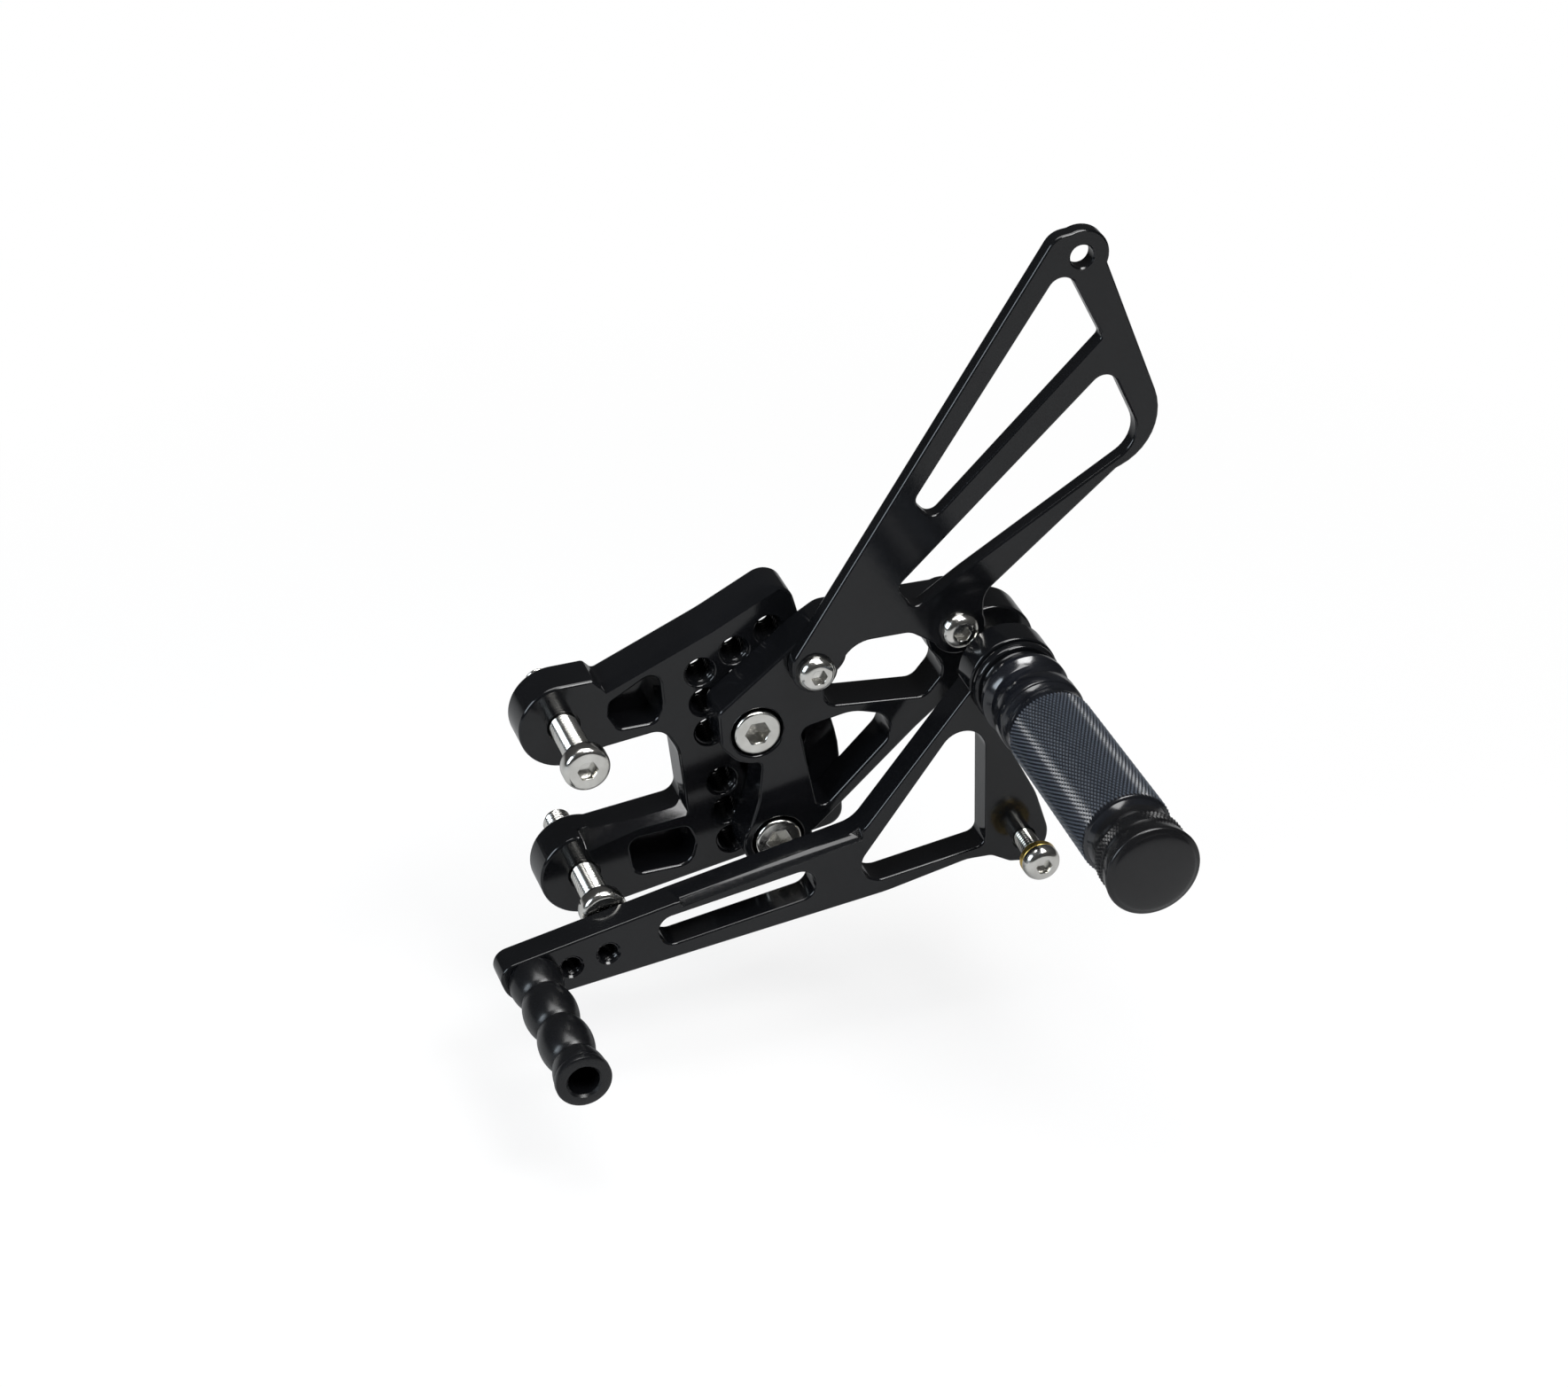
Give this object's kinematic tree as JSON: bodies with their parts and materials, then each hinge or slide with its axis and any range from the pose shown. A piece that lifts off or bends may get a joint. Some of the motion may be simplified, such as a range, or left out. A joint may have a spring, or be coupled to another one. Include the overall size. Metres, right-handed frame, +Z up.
{
  "type": "motorcycle rear set footrest with shift lever",
  "caption": "Gear-shift side rear set for a motorbike: drilled frame bracket, carrier plate, heel guard, knurled foot peg and a pivoting shift lever with toe peg.",
  "frame": {"origin": "midway between the two frame bolts, on the bracket's frame-side face", "axes": "+X to the rear of the bike, +Y inboard towards the bike's frame along the bolts and the foot peg, +Z up"},
  "size_m": [0.187, 0.1585, 0.198],
  "materials": {
    "black_anodised": "milled aluminium, glossy black anodised",
    "knurled_black": "knurled aluminium, black anodised",
    "satin_black": "turned aluminium, satin black anodised",
    "stainless": "bright stainless steel",
    "brass": "plain brass"
  },
  "bodies": {
    "fixed": {"frame_bracket": "black_anodised", "frame_bolt_upper": "stainless", "frame_bolt_lower": "stainless", "carrier_plate": "black_anodised", "carrier_bolt_upper": "stainless", "carrier_bolt_lower": "stainless", "heel_guard": "black_anodised", "heel_guard_bolts": "stainless", "spacer_sleeve": "stainless", "bearing_inner_ring": "stainless", "peg_base": "black_anodised", "peg_grip": "knurled_black", "peg_end_cap": "satin_black", "peg_bolt": "stainless", "peg_washer": "stainless"},
    "lever": {"shift_lever": "black_anodised", "bearing_outer_ring": "stainless", "bearing_balls": "stainless", "bearing_cage": "brass", "bearing_shields": "stainless", "circlip": "stainless", "toe_peg": "black_anodised", "toe_peg_screw": "stainless", "link_bolt": "stainless", "link_washer": "brass"}
  },
  "joints": [
    {"name": "lever_pivot", "type": "hinge", "parent": "fixed", "child": "lever", "pos_m": [0.1137, -0.0375, 0.03389], "axis": [0, 1, 0], "range_deg": [-12, 12]}
  ]
}
